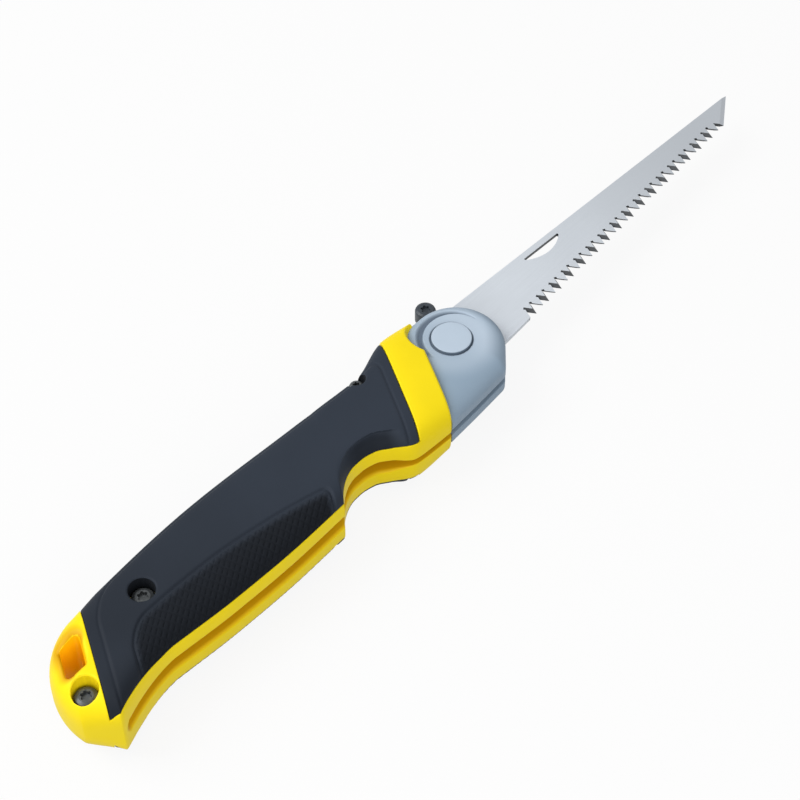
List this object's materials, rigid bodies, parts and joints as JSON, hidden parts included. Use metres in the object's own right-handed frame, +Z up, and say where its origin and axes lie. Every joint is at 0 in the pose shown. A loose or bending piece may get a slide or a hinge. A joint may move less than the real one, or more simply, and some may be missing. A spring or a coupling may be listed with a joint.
{
  "type": "folding saw",
  "caption": "Folding saw: a tapered toothed blade swings out of a slotted handle with soft grips, and a sprung lock lever with a thumb button holds it at the pivot head.",
  "frame": {"origin": "middle of the open saw's box, on the surface that its far flank lies on", "axes": "+X along the saw to the blade's point, +Y to the spine and the lock button, +Z up from the far flank to the near side"},
  "size_m": [0.2992, 0.0386, 0.0234],
  "materials": {
    "yellow_plastic": "satin moulded",
    "soft_grip": "matt",
    "cast_head": "satin cast",
    "blade_steel": "ground",
    "inner_steel": "turned",
    "bronze": "rolled",
    "black_steel": "blackened",
    "black_button": "satin moulded"
  },
  "bodies": {
    "handle": {"near_shell": "yellow_plastic", "far_shell": "yellow_plastic", "near_grip": "soft_grip", "far_grip": "soft_grip", "near_bolster": "cast_head", "far_bolster": "cast_head", "near_cap": "cast_head", "far_cap": "cast_head", "near_washer": "bronze", "far_washer": "bronze", "pivot_barrel": "inner_steel", "pivot_screw": "inner_steel", "open_stop_pin": "inner_steel", "lever_pin": "inner_steel", "lever_spring": "inner_steel", "front_screw": "black_steel", "middle_screw": "black_steel", "tail_screw": "black_steel"},
    "blade": {"blade": "blade_steel"},
    "lock_lever": {"lock_lever": "inner_steel", "lock_button": "black_button"}
  },
  "joints": [
    {"name": "blade_fold", "type": "hinge", "parent": "handle", "child": "blade", "pos_m": [0.00683, 0.00024, 0.0117], "axis": [0, 0, -1], "range_deg": [0, 177]},
    {"name": "lock_press", "type": "hinge", "parent": "handle", "child": "lock_lever", "pos_m": [0.00532, 0.01064, 0.0117], "axis": [0, 0, -1], "range_deg": [-13.5, 0], "stiffness_Nm_per_rad": 0.02, "springref_deg": -22.92, "deforming": ["lever_spring"]}
  ]
}
